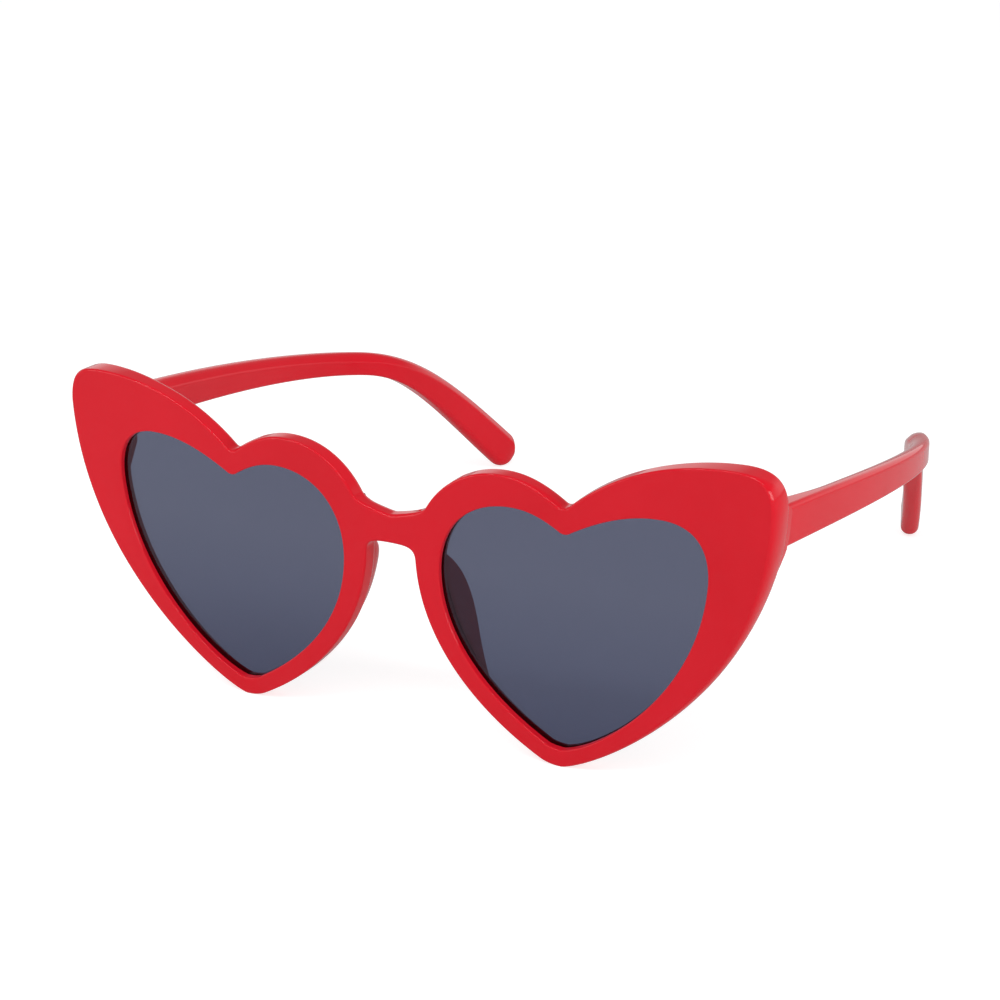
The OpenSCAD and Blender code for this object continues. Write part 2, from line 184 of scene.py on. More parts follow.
same_spot = 0.001
outer_wall, opening_wall = 1, 2
bm = bmesh.new()
edge_kind = bm.verts.layers.float.new("edge_kind")
point_at = bm.verts.layers.float.new("point_at")
column_at = bm.verts.layers.float.new("column_at")
share_up = bm.verts.layers.float.new("share_up")

# One heart's flat face, drawn from its rounded edge in to that of the lens opening
face_line = [point - way * r for point, way, r in zip(heart_line, heart_out, face_r)]
face_hole = [point + way * open_r for point, way in zip(open_line, open_out)]
rim = [bm.verts.new(point) for point in face_line]
for i, vert in enumerate(rim):
    vert[point_at] = i
rim_edges = [bm.edges.new((rim[i - 1], rim[i])) for i in range(len(rim))]
made = bmesh.ops.extrude_edge_only(bm, edges=rim_edges)
for vert in new_verts(made):
    vert.co = face_hole[round(vert[point_at])]
    vert[edge_kind] = opening_wall

# Half the bridge, drawn from the rim's nose side to the middle. Its top and underside
# leave the rim along the rim's own edge, so the corners are filled as in the mould.
bridge_top, bridge_low = 44.25, 38.63
bridge_edge_r, bridge_back_r = 0.65, 2.2
bridge_from, bridge_to = 50, 66
bridge_columns = 18
top_grip, low_grip = 1.0, 2.5
top_far_grip, low_far_grip = (2.8, 0.4), 4.2
chain = rim[bridge_from:bridge_to + 1]
top_run = (heart_line[bridge_from + 1] - heart_line[bridge_from]).normalized()
low_run = (heart_line[bridge_to - 1] - heart_line[bridge_to]).normalized()
top_edge = interpolate_bezier(
    heart_line[bridge_from], heart_line[bridge_from] + top_run * top_grip,
    Vector((top_far_grip[0], 0, bridge_top + top_far_grip[1])), Vector((0, 0, bridge_top)),
    bridge_columns + 1)
low_edge = interpolate_bezier(
    heart_line[bridge_to], heart_line[bridge_to] + low_run * low_grip,
    Vector((low_far_grip, 0, bridge_low)), Vector((0, 0, bridge_low)), bridge_columns + 1)


def beside(points, out):
    """Directions square to an open run of points that ends at the middle, on its out side."""
    ends = points + [Vector((-points[-2].x, 0, points[-2].z))]
    turns = [ends[min(i + 1, len(ends) - 1)] - ends[max(i - 1, 0)] for i in range(len(points))]
    return [Vector((-turn.z, 0, turn.x)).normalized() * out for turn in turns]


top_out, low_out = beside(top_edge, -1), beside(low_edge, 1)
fade = [soft_step(2 * column / bridge_columns) for column in range(bridge_columns + 1)]
rim_r = face_r[bridge_from]
top_r = [rim_r + (bridge_edge_r - rim_r) * part for part in fade]
top_back_r = [back_r + (bridge_back_r - back_r) * part for part in fade]
top_face = [point - way * r for point, way, r in zip(top_edge, top_out, top_r)]
low_face = [point - way * nose_r for point, way in zip(low_edge, low_out)]
span = chain[0].co - chain[-1].co
heights = [(v.co - chain[-1].co).dot(span) / span.length_squared for v in chain]
bulges = [v.co - chain[-1].co.lerp(chain[0].co, h) for v, h in zip(chain, heights)]
edges = [e for e in rim_edges if e.verts[0] in chain and e.verts[1] in chain]
for column in range(1, bridge_columns + 1):
    left = (1 - column / bridge_columns) ** 2
    spots = {
        tuple(v.co): low_face[column].lerp(top_face[column], h) + bulge * left
        for v, h, bulge in zip(chain, heights, bulges)}
    order = [spots[tuple(v.co)] for v in chain]
    moved = move_new(bmesh.ops.extrude_edge_only(bm, edges=edges), spots)
    chain = [min(moved, key=lambda v: (v.co - spot).length) for spot in order]
    edges = [bm.edges.get((a, b)) for a, b in zip(chain, chain[1:])]
    for vert, h in zip(chain, heights):
        vert[column_at], vert[share_up] = column, h
    chain[0][point_at] = len(rim) + column
    chain[-1][point_at] = len(rim) + bridge_columns + column

bmesh.ops.mirror(bm, geom=bm.verts[:] + bm.edges[:] + bm.faces[:], merge_dist=same_spot, axis="X")
bmesh.ops.remove_doubles(bm, verts=bm.verts, dist=same_spot)
for vert in bm.verts:
    if vert.is_boundary and vert[edge_kind] < outer_wall:
        vert[edge_kind] = outer_wall

# The flat drawing is given its thickness, more of it round each hinge
side_rise, side_reach = 2.6, 26.0


def back_depth(point):
    """How far behind the front's face its back lies there."""
    gone = math.hypot(abs(point.x) - heart_gap / 2 - heart_w, point.z - hinge_z)
    return front_t + side_rise * max(0, 1 - (gone / side_reach) ** 2) ** 2


back = new_verts(bmesh.ops.extrude_face_region(bm, geom=bm.faces[:]))
bmesh.ops.translate(bm, vec=(0, front_t, 0), verts=back)
for vert in back:
    column = round(vert[column_at])
    if column:
        lower = top_out[column] * (top_r[column] - top_back_r[column]) * vert[share_up]
        vert.co += Vector((math.copysign(lower.x, vert.co.x), 0, lower.z))


def wall_rows(kind, rows):
    """Cuts one kind of wall into rows, and gives its vertices with their rows, 0 in front.

    Known fault: below each hinge, where the back's outer edge lies more than half the front's
    thickness behind the opening's, edges of the back are cut too and leave a shallow trough.
    With all in place of any they would be left alone.
    """
    uprights = [
        e for e in bm.edges if any(v[edge_kind] == kind for v in e.verts)
        and abs(e.verts[0].co.y - e.verts[1].co.y) > front_t / 2]
    bmesh.ops.subdivide_edges(bm, edges=uprights, cuts=rows - 1)
    return [(v, round(v.co.y / front_t * rows)) for v in bm.verts if abs(v[edge_kind] - kind) < 0.5]


# The outer wall: a round edge, a straight side and a smaller round edge at the back
round_rows = 6
outer_rows = 2 * round_rows + 1
edge_line = heart_line + top_edge + low_edge[1:]
edge_out = heart_out + top_out + low_out[1:]
edge_rounding = face_r + top_r + [nose_r] * bridge_columns
edge_deepness = face_deep + edge_rounding[len(face_r):]
back_rounding = [back_r] * len(heart_line) + top_back_r + [back_r] * bridge_columns
for vert, row in wall_rows(outer_wall, outer_rows):
    at = round(vert[point_at])
    edge, way, r = edge_line[at], edge_out[at], edge_rounding[at]
    deep = back_depth(edge)
    if row <= round_rows:
        a = math.radians(90 * row / round_rows)
        crown = min(edge_deepness[at], deep - back_rounding[at] - least_wall)
        inwards, y = r * (1 - math.sin(a)), crown * (1 - math.cos(a))
    else:
        a = math.radians(90 * (row - round_rows - 1) / round_rows)
        r = back_rounding[at]
        inwards, y = r * (1 - math.cos(a)), deep - r * (1 - math.sin(a))
    spot = edge - way * inwards
    vert.co = Vector((math.copysign(spot.x, vert.co.x), y, spot.z))

# The wall of an opening: a small round edge, the groove that follows the lens's dome and its
# slight lean, and a fuller round edge at the back
lens_t, lens_dome_r, lens_set, groove_d, lens_play = 1.6, 700.0, 0.3, 1.0, 0.06
lens_lean = 0.016
open_steps, groove_corners = 3, 4
lens_mid = Vector((heart_gap / 2 + rim_nose + open_w / 2, 0, rim_tip + open_h / 2))


def dome_depth(point):
    """How far behind the front's face the lens's own face lies there."""
    away = math.hypot(abs(point.x) - lens_mid.x, point.z - lens_mid.z)
    lean = lens_lean * (rim_tip + open_h - point.z)
    return lens_set + lean + lens_dome_r - math.sqrt(lens_dome_r ** 2 - away ** 2)


for vert, row in wall_rows(opening_wall, 2 * open_steps + groove_corners + 1):
    edge, way = open_line[round(vert[point_at])], open_out[round(vert[point_at])]
    lip = dome_depth(edge) - lens_play
    far_lip = lip + lens_t + 2 * lens_play
    past_round, past_groove = row - open_steps - 1, row - open_steps - groove_corners - 1
    if past_round < 0:
        a = math.radians(90 * row / open_steps)
        into, y = open_r * (1 - math.sin(a)), open_r * (1 - math.cos(a))
    elif past_groove < 0:
        into, y = ((0, lip), (groove_d, lip), (groove_d, far_lip), (0, far_lip))[past_round]
    else:
        a = math.radians(90 * past_groove / open_steps)
        into, y = open_back_r * (1 - math.cos(a)), front_t - open_back_r * (1 - math.sin(a))
    spot = edge + way * into
    vert.co = Vector((math.copysign(spot.x, vert.co.x), y, spot.z))
wrap_back(bm.verts)

# Each end piece stands back from the wing, flush with its edge. It narrows from its foot
# to the flat land that the temple meets.
land_w, land_h, land_root, land_set = 11.4, 8.6, 4.5, 0.05
land_r, land_corner = 0.3, math.radians(40)
foot_low, foot_high, foot_set = 41.5, 56.5, 0.05
block_x = heart_gap / 2 + heart_w - land_w
block_steps = 14


def wing_side(z):
    """The place on the wing's outer side at one height."""
    for a, b in zip(heart_line, heart_line[1:]):
        if a.x > block_x and a.z <= z < b.z:
            inwards = heart_out[heart_line.index(a)] * land_set
            return a.lerp(b, (z - a.z) / (b.z - a.z)) - inwards


def block_outline(low, high, y, inset):
    """A level section of the end piece: the wing's side, then straight down its inner side."""
    heights = [low + (high - low) * k / block_steps for k in range(block_steps + 1)]
    side = [wing_side(z) - Vector((inset, 0, 0)) for z in heights]
    return [Vector((p.x, y, p.z)) for p in side] + [
        Vector((block_x, y, high)), Vector((block_x, y, low))]


rim_side = set(bm.verts)
base = [bm.verts.new(point) for point in block_outline(foot_low, foot_high, land_root, foot_set)]
tops = new_verts(bmesh.ops.extrude_face_region(bm, geom=[bm.faces.new(base)]))
land_outline = block_outline(hinge_z - land_h / 2, hinge_z + land_h / 2, land_root, 0)
for vert in tops:
    at = min(range(len(base)), key=lambda k: (base[k].co - vert.co).length)
    vert.co = land_outline[at]
wrap_back(base + tops)
for vert in tops:
    vert.co.y = land_y
corners = [e for e in bm.edges if e.verts[0] in tops and e.calc_face_angle(0) > land_corner]
made = bmesh.ops.bevel(bm, geom=corners, offset=land_r, segments=3, profile=0.5,
                       affect="EDGES", material=-1)
shell = [v for v in bm.verts if v[edge_kind] < 0.5 and v not in rim_side]

# A nose pad grows out of each rim's back: an arch over the rim, carried from its foot to
# its top. Rows: height; foot on the nose side and on the lens side, the same at the crest,
# all as shares of the heart; and how far it stands back, as a share of its depth.
pad_depth = 5.6
pad_sink, pad_flare = 0.5, 0.3
pad_rise, pad_crown = 0.7, 0.8
pad_points, pad_steps = 11, 4
pad_rows = [
    (0.190, 0.168, 0.203, 0.174, 0.200, 0.02),
    (0.236, 0.128, 0.176, 0.145, 0.184, 0.28),
    (0.300, 0.094, 0.144, 0.108, 0.162, 0.62),
    (0.365, 0.067, 0.112, 0.078, 0.146, 0.90),
    (0.430, 0.045, 0.090, 0.056, 0.130, 1.00),
    (0.496, 0.028, 0.072, 0.037, 0.106, 0.95),
    (0.548, 0.017, 0.062, 0.022, 0.080, 0.70),
    (0.596, 0.010, 0.060, 0.014, 0.058, 0.16),
    (0.625, 0.008, 0.058, 0.012, 0.052, 0.00),
]


def arch(row):
    """One section across a pad, from its nose side over its crest to its lens side."""
    height, nose, lens, crest_nose, crest_lens, back_share = row
    z = height * heart_h
    deep = front_t + back_share * pad_depth
    left, right = heart_gap / 2 + nose * heart_w, heart_gap / 2 + lens * heart_w
    middle = heart_gap / 2 + (crest_nose + crest_lens) / 2 * heart_w
    half = (crest_lens - crest_nose) / 2 * heart_w
    under = front_t - pad_sink
    upright = under + (deep - under) * pad_rise
    top = Vector((middle, deep, z))
    up = interpolate_bezier(
        Vector((left - pad_flare, under, z)), Vector((left - pad_flare, upright, z)),
        Vector((middle - half * pad_crown, deep, z)), top, pad_points)
    down = interpolate_bezier(
        top, Vector((middle + half * pad_crown, deep, z)),
        Vector((right + pad_flare, upright, z)), Vector((right + pad_flare, under, z)), pad_points)
    return up + down[1:]


def between(rows, place):
    """A row of values part way along a list of rows, on a smooth curve through them."""
    at = min(int(place), len(rows) - 2)
    part = place - at
    a, b, c, d = (rows[min(max(at + k, 0), len(rows) - 1)] for k in (-1, 0, 1, 2))
    return [
        q + 0.5 * part * (r - p + part * (2 * p - 5 * q + 4 * r - s + part * (3 * (q - r) + s - p)))
        for p, q, r, s in zip(a, b, c, d)]


pad_places = [k / pad_steps for k in range(pad_steps * (len(pad_rows) - 1) + 1)]
pad_ribs = [arch(between(pad_rows, place)) for place in pad_places]
block_side = set(shell)
run = [bm.verts.new(point) for point in pad_ribs[0]]
shell += run
edges = [bm.edges.new((a, b)) for a, b in zip(run, run[1:])]
for rib in pad_ribs[1:]:
    moved = move_new(bmesh.ops.extrude_edge_only(bm, edges=edges),
                     {tuple(v.co): point for v, point in zip(run, rib)})
    run = [min(moved, key=lambda v: (v.co - point).length) for point in rib]
    edges = [bm.edges.get((a, b)) for a, b in zip(run, run[1:])]
    shell += moved
pad = [v for v in shell if v not in block_side]
openings = list({e for v in pad for e in v.link_edges if e.is_boundary})
bmesh.ops.edgeloop_fill(bm, edges=openings)
wrap_back(pad)

parts = set(shell)
parts |= {e for v in shell for e in v.link_edges} | {f for v in shell for f in v.link_faces}
bmesh.ops.mirror(bm, geom=list(parts), merge_dist=same_spot, axis="X")


crease = math.radians(38)


def finish_piece(bm, name, material, body, node, mirrored=False):
    """A mesh in millimetres from the middle of the front's face becomes a piece in the frame."""
    bmesh.ops.translate(bm, vec=(0, -depth_middle, 0), verts=bm.verts)
    bmesh.ops.scale(bm, vec=(-mm if mirrored else mm, mm, mm), verts=bm.verts)
    bmesh.ops.recalc_face_normals(bm, faces=bm.faces)
    mesh = bpy.data.meshes.new(name)
    bm.to_mesh(mesh)
    bm.free()
    mesh.shade_smooth()
    mesh.set_sharp_from_angle(angle=crease)
    mesh.materials.append(material)
    piece = bpy.data.objects.new(name, mesh)
    bpy.context.collection.objects.link(piece)
    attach(piece, body)
    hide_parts(node)
    return piece


def even_gloss(piece, keep_sharp=False):
    """Large faces keep their even reflection right up to the rounded edges."""
    even = piece.modifiers.new("even_gloss", "WEIGHTED_NORMAL")
    even.weight = 90
    even.keep_sharp = keep_sharp


def new_material(name):
    """A node material: its nodes, its links, its shader, and where a point lies on the part."""
    material = bpy.data.materials.new(name)
    material.use_nodes = True
    nodes, links = material.node_tree.nodes, material.node_tree.links
    place = nodes.new("ShaderNodeTexCoord").outputs["Object"]
    return material, nodes, links, nodes["Principled BSDF"], place


def noise(nodes, links, place, scale, detail=3.0):
    """Soft clouds, as many to a unit of place as the scale says."""
    texture = nodes.new("ShaderNodeTexNoise")
    texture.inputs["Scale"].default_value = scale
    texture.inputs["Detail"].default_value = detail
    links.new(place, texture.inputs["Vector"])
    return texture.outputs["Fac"]


def spread(nodes, links, value, low, high, start=0.3, end=0.7):
    """A texture's values spread between two limits."""
    ramp = nodes.new("ShaderNodeMapRange")
    ramp.inputs["From Min"].default_value = start
    ramp.inputs["From Max"].default_value = end
    ramp.inputs["To Min"].default_value = low
    ramp.inputs["To Max"].default_value = high
    links.new(value, ramp.inputs["Value"])
    return ramp.outputs["Result"]


def blend_colours(nodes, links, value, first, second):
    """The first colour where the value is 0, the second where it is 1."""
    mix = nodes.new("ShaderNodeMix")
    mix.data_type = "RGBA"
    mix.inputs["A"].default_value = (*first, 1)
    mix.inputs["B"].default_value = (*second, 1)
    links.new(value, mix.inputs["Factor"])
    return mix.outputs["Result"]


def bump(nodes, links, shader, value, strength, distance):
    """A relief that only the light shows, its distance in metres."""
    relief = nodes.new("ShaderNodeBump")
    relief.inputs["Strength"].default_value = strength
    relief.inputs["Distance"].default_value = distance
    links.new(value, relief.inputs["Height"])
    links.new(relief.outputs["Normal"], shader.inputs["Normal"])


# Glossy moulded plastic: even red with a slight flow mottle, a faint ripple in the gloss
deep_red, bright_red = (0.69, 0.006, 0.017), (0.74, 0.008, 0.021)
flow_scale, gloss_scale, ripple_scale = 45, 400, 500
most_gloss, least_gloss = 0.04, 0.08
ripple, ripple_depth = 0.06, 0.00003
red_plastic, nodes, links, shader, place = new_material("red_plastic")
flow = spread(nodes, links, noise(nodes, links, place, flow_scale), 0, 1)
links.new(blend_colours(nodes, links, flow, deep_red, bright_red), shader.inputs["Base Color"])
gloss = spread(nodes, links, noise(nodes, links, place, gloss_scale), most_gloss, least_gloss)
links.new(gloss, shader.inputs["Roughness"])
bump(nodes, links, shader, noise(nodes, links, place, ripple_scale, 1), ripple, ripple_depth)
shader.inputs["IOR"].default_value = 1.49
shader.inputs["Specular IOR Level"].default_value = 0.27

front = finish_piece(bm, "moulded_front", red_plastic, "front", "front_frame")
even_gloss(front, keep_sharp=True)


# The lenses: smoke tinted sheets cut to the heart opening, domed, their edges in the groove.
# Each is pressed into the front from behind.
lens_edge_r, lens_corner = 0.15, math.radians(50)
lens_loops = [0.97, 0.9, 0.8, 0.66, 0.5, 0.33, 0.16]
lens_middle_share = (0.5, 0.62)
lens_middle = Vector((heart_gap / 2 + rim_nose + open_w * lens_middle_share[0], 0,
                      rim_tip + open_h * lens_middle_share[1]))
lens_line = [point + way * (groove_d - lens_play) for point, way in zip(open_line, open_out)]

# The tint grows paler from near the tip up, and the polish is very slightly uneven
tip_smoke, top_smoke = (0.048, 0.061, 0.107), (0.080, 0.092, 0.137)
smoke_from, smoke_to = 0.002, 0.036
polish_scale, least_polish = 90, 0.006
smoke_lens, nodes, links, shader, place = new_material("smoke_lens")
split = nodes.new("ShaderNodeSeparateXYZ")
links.new(place, split.inputs["Vector"])
height = spread(nodes, links, split.outputs["Z"], 0, 1, smoke_from, smoke_to)
links.new(blend_colours(nodes, links, height, tip_smoke, top_smoke), shader.inputs["Base Color"])
polish = spread(nodes, links, noise(nodes, links, place, polish_scale), 0, least_polish)
links.new(polish, shader.inputs["Roughness"])
shader.inputs["Transmission Weight"].default_value = 1
shader.inputs["IOR"].default_value = 1.5
shader.inputs["Specular Tint"].default_value = (0.9, 0.75, 1.0, 1)


def round_edges(piece, r, corner):
    """A fine rounding along every edge that turns by more than the corner's angle."""
    rounding = piece.modifiers.new("rounded_edges", "BEVEL")
    rounding.limit_method = "ANGLE"
    rounding.angle_limit = corner
    rounding.width = r * mm
    rounding.segments = 3
    rounding.harden_normals = True


for side in ("left", "right"):
    bm = bmesh.new()
    loop = [bm.verts.new(point) for point in lens_line]
    edges = [bm.edges.new((loop[i - 1], loop[i])) for i in range(len(loop))]
    for share in lens_loops:
        target = [lens_middle.lerp(point, share) for point in lens_line]
        moved = move_new(bmesh.ops.extrude_edge_only(bm, edges=edges),
                         {tuple(v.co): spot for v, spot in zip(loop, target)})
        by_place = {tuple(v.co): v for v in moved}
        loop = [by_place[tuple(Vector(spot))] for spot in target]
        edges = [bm.edges.get((loop[i - 1], loop[i])) for i in range(len(loop))]
    made = bmesh.ops.edgeloop_fill(bm, edges=edges)
    bmesh.ops.poke(bm, faces=made["faces"])
    back = new_verts(bmesh.ops.extrude_face_region(bm, geom=bm.faces[:]))
    for vert in bm.verts:
        vert.co.y = dome_depth(vert.co)
    bmesh.ops.translate(bm, vec=(0, lens_t, 0), verts=back)
    wrap_back(bm.verts)
    lens = finish_piece(bm, "lens_disc_" + side, smoke_lens, "front", "lens_" + side,
                        mirrored=side == "right")
    round_edges(lens, lens_edge_r, lens_corner)


# The temples: flat moulded arms of the same red plastic, flush with the end pieces. Each
# narrows towards the ear bend and ends in a round paddle that curls in behind the ear.
reach, bend_at, bend_z = 145.0, 101.0, 37.3
temple_t, root_h, waist_h, paddle_h = 4.2, 7.7, 5.1, 9.0
corner_r, crown_r, crest_r, tip_r = 0.6, 1.05, 0.35, 1.9
root_slope, crest_slope = 0.4, 1.7
splay, root_dip = 6.0, 4.5
bend_out, bend_turn, bend_dip = 1.1, 23.0, 11.5
tip_in, tip_turn, tip_dip = 13.1, 20.0, 43.8
arm_pull, tail_pull, tail_far_pull = 0.26, 0.3, 0.45
arm_steps, tail_steps, tip_steps = 56, 64, 24
tip_end, tip_flat = math.radians(86), 0.15
slope_from, slope_run, rounder_from, rounder_run = 5, 12, 74, 40
butt_gap, butt_r, butt_spare = 0.25, 0.25, 2 * temple_t


def heading(out, dip):
    """The way that a temple runs, from its angles away from the head and down."""
    out, dip = math.radians(out), math.radians(dip)
    return Vector((math.sin(out) * math.cos(dip), math.cos(out) * math.cos(dip), -math.sin(dip)))


def temple_run(start, start_way, end, end_way, pull, far_pull, heights, steps):
    """Stations along one stretch of a temple: (place, height, thickness)."""
    length = (end - start).length
    places = interpolate_bezier(start, start + start_way * length * pull,
                                end - end_way * length * far_pull, end, steps + 1)
    return [
        (place, heights[0] + (heights[1] - heights[0]) * soft_step(k / steps), temple_t)
        for k, place in enumerate(places)]


root_way = heading(splay, root_dip)
bend_way = heading(-bend_turn, bend_dip)
tip_way = heading(-tip_turn, tip_dip)
turned = math.radians(splay)
root_off = face_gap + temple_t / 2
root = Vector((pin_x + root_off * math.cos(turned), pin_y - root_off * math.sin(turned), hinge_z))
root -= root_way * butt_spare
bend = Vector((pin_x + bend_out, bend_at, bend_z))
tip = Vector((pin_x - tip_in, reach, paddle_h / 2))
stations = temple_run(
    root, root_way, bend, bend_way, arm_pull, arm_pull, (root_h, waist_h), arm_steps)[:-1]
stations += temple_run(
    bend, bend_way, tip, tip_way, tail_pull, tail_far_pull, (waist_h, paddle_h), tail_steps)
for k in range(1, tip_steps + 1):
    a = tip_end * k / tip_steps
    stations.append((tip + tip_way * paddle_h / 2 * math.sin(a), paddle_h * math.cos(a),
                     temple_t * (tip_flat + (1 - tip_flat) * math.cos(a))))

# Roundings are full where half the height and half the thickness are at least these. They
# take up at most a share of each side, and a share of them pulls the curve to the corner.
full_half_h, full_half_t = 2, 1.6
side_share, corner_pull, corner_points = 0.48, 0.45, 6


def section(i):
    """The rounded section of a temple at a station, square to its centre line."""
    place, height, thickness = stations[i]
    way = (stations[min(i + 1, len(stations) - 1)][0] - stations[max(i - 1, 0)][0]).normalized()
    out = way.cross(Vector((0, 0, 1))).normalized()
    up = out.cross(way)
    half_h, half_t = height / 2, thickness / 2
    soft = min(1, half_h / full_half_h, half_t / full_half_t)
    sloped = soft_step((i - slope_from) / slope_run)
    slope = (root_slope + (crest_slope - root_slope) * sloped) * soft
    rounder = soft_step((i - rounder_from) / rounder_run)
    corners = [
        Vector((half_t, -half_h)), Vector((half_t, half_h)), Vector((slope - half_t, half_h)),
        Vector((-half_t, half_h - slope)), Vector((-half_t, -half_h))]
    points = []
    for k, corner in enumerate(corners):
        before, after = corners[k - 1] - corner, corners[(k + 1) % len(corners)] - corner
        r = (corner_r, crown_r, crown_r, crest_r, corner_r)[k]
        # The tail grows rounder towards its tip, all but its crest
        if r != crest_r:
            r += (tip_r - r) * rounder
        r *= soft
        r = min(r, before.length * side_share, after.length * side_share)
        before, after = before.normalized() * r, after.normalized() * r
        for flat in interpolate_bezier(corner + before, corner + before * corner_pull,
                                       corner + after * corner_pull, corner + after,
                                       corner_points):
            points.append(place + out * flat.x + up * flat.y)
    return points


for side in ("left", "right"):
    bm = bmesh.new()
    ring = [bm.verts.new(point) for point in section(0)]
    face = bm.faces.new(ring)
    for i in range(1, len(stations)):
        spots = {tuple(v.co): point for v, point in zip(ring, section(i))}
        made = bmesh.ops.extrude_face_region(bm, geom=[face])
        move_new(made, spots)
        if i > 1:
            bmesh.ops.delete(bm, geom=[face], context="FACES_ONLY")
        face = next(f for f in made["geom"] if isinstance(f, bmesh.types.BMFace))
        by_place = {tuple(v.co): v for v in face.verts}
        ring = [by_place[tuple(Vector(point))] for point in section(i)]
    root_cut = bmesh.ops.bisect_plane(
        bm, geom=bm.verts[:] + bm.edges[:] + bm.faces[:], plane_co=(0, land_y + butt_gap, 0),
        plane_no=(0, 1, 0), clear_inner=True)
    rim_cut = [e for e in root_cut["geom_cut"] if isinstance(e, bmesh.types.BMEdge)]
    bmesh.ops.edgeloop_fill(bm, edges=rim_cut)
    bmesh.ops.recalc_face_normals(bm, faces=bm.faces)
    bmesh.ops.bevel(bm, geom=rim_cut, offset=butt_r, segments=3, profile=0.5, affect="EDGES",
                    material=-1)
    temple = finish_piece(bm, "temple_arm_" + side, red_plastic, "arm_" + side,
                          "temple_" + side, mirrored=side == "right")
    even_gloss(temple)


# The hinges: stamped steel leaves, moulded into the plastic by pegs, their rolled knuckles
# turning on one slotted screw. The front's leaf has the outer knuckles, the temple's the
# middle one, and the temple's leaf tapers and dips with its temple.
barrel_h, knuckle_gap = 6.0, 0.12
knuckle_h = barrel_h / 3
barrel_z = hinge_z - barrel_h / 2
web_from, web_half_w = barrel_r * 0.6, barrel_r * 0.8
leaf_t, leaf_w, leaf_l, leaf_h = 1.0, 4.4, 10.0, 4.4
leaf_proud, leaf_taper = 0.14, 0.7
peg_foot_r, peg_top_r, peg_h, peg_lift = 0.62, 0.5, 0.12, 0.04
front_peg_z, temple_peg_shares = barrel_h / 4, (0.45, 0.82)
metal_edge_r, metal_corner = 0.12, math.radians(40)


def metal_marks(nodes, links, shader, place, scales, colours, roughness):
    """Bare metal, with the marks of its making in its colour and its gloss."""
    grain = nodes.new("ShaderNodeMapping")
    grain.inputs["Scale"].default_value = scales
    links.new(place, grain.inputs["Vector"])
    marks = noise(nodes, links, grain.outputs["Vector"], 1)
    links.new(blend_colours(nodes, links, spread(nodes, links, marks, 0, 1), *colours),
              shader.inputs["Base Color"])
    links.new(spread(nodes, links, marks, *roughness), shader.inputs["Roughness"])
    shader.inputs["Metallic"].default_value = 1
    return marks


steel_colours = (0.50, 0.50, 0.51), (0.62, 0.62, 0.63)
drawn_scales, drawn_gloss = (300, 300, 4000), (0.22, 0.38)
drawn_relief, drawn_depth = 0.15, 0.00002
hinge_steel, nodes, links, shader, place = new_material("hinge_steel")
drawn = metal_marks(nodes, links, shader, place, drawn_scales, steel_colours, drawn_gloss)
bump(nodes, links, shader, drawn, drawn_relief, drawn_depth)


def box(bm, low, high):
    """A block between two corners. Returns its vertices."""
    made = bmesh.ops.create_cube(bm, size=1)
    middle, size = (Vector(low) + Vector(high)) / 2, Vector(high) - Vector(low)
    bmesh.ops.scale(bm, vec=size, verts=made["verts"])
    bmesh.ops.translate(bm, vec=middle, verts=made["verts"])
    return made["verts"]


def knuckle(bm, level):
    """A rolled knuckle and the web that joins it to its leaf, towards -Y."""
    made = bmesh.ops.create_circle(bm, cap_ends=True, segments=48, radius=barrel_r)
    bottom = barrel_z + level * knuckle_h + knuckle_gap / 2
    verts = made["verts"]
    bmesh.ops.translate(bm, vec=(0, 0, bottom), verts=verts)
    for vert in verts:
        if vert.co.y < -web_from:
            vert.co = Vector((math.copysign(web_half_w, vert.co.x), -face_gap - leaf_t / 2,
                              bottom))
    bmesh.ops.remove_doubles(bm, verts=verts, dist=same_spot)
    faces = list({f for v in verts if v.is_valid for f in v.link_faces})
    made = bmesh.ops.extrude_face_region(bm, geom=faces)
    bmesh.ops.translate(bm, vec=(0, 0, knuckle_h - knuckle_gap), verts=new_verts(made))


def peg_end(bm, x, z):
    """The flattened end of a peg, showing on its leaf."""
    made = bmesh.ops.create_cone(bm, cap_ends=True, segments=24, radius1=peg_foot_r,
                                 radius2=peg_top_r, depth=peg_h)
    bmesh.ops.rotate(bm, matrix=Matrix.Rotation(math.radians(-90), 3, "X"), verts=made["verts"])
    bmesh.ops.translate(bm, vec=(x, -face_gap + leaf_proud + peg_lift, z), verts=made["verts"])


def finish_metal(bm, name, material, body, node, side):
    """Metal pieces are tumbled, which rounds their edges. The right ones are mirror images."""
    piece = finish_piece(bm, name, material, body, node, mirrored=side == "right")
    round_edges(piece, metal_edge_r, metal_corner)


for side in ("left", "right"):
    bm = bmesh.new()
    box(bm, (barrel_r - leaf_w, -face_gap - leaf_t, barrel_z),
        (barrel_r, -face_gap + leaf_proud, barrel_z + barrel_h))
    for level in (0, 2):
        knuckle(bm, level)
    for height in (-front_peg_z, front_peg_z):
        peg_end(bm, barrel_r - leaf_w / 2, hinge_z + height)
    bmesh.ops.translate(bm, vec=(pin_x, pin_y, 0), verts=bm.verts)
    finish_metal(bm, "front_hinge_" + side, hinge_steel, "front", "front_leaf_" + side,
                 side)

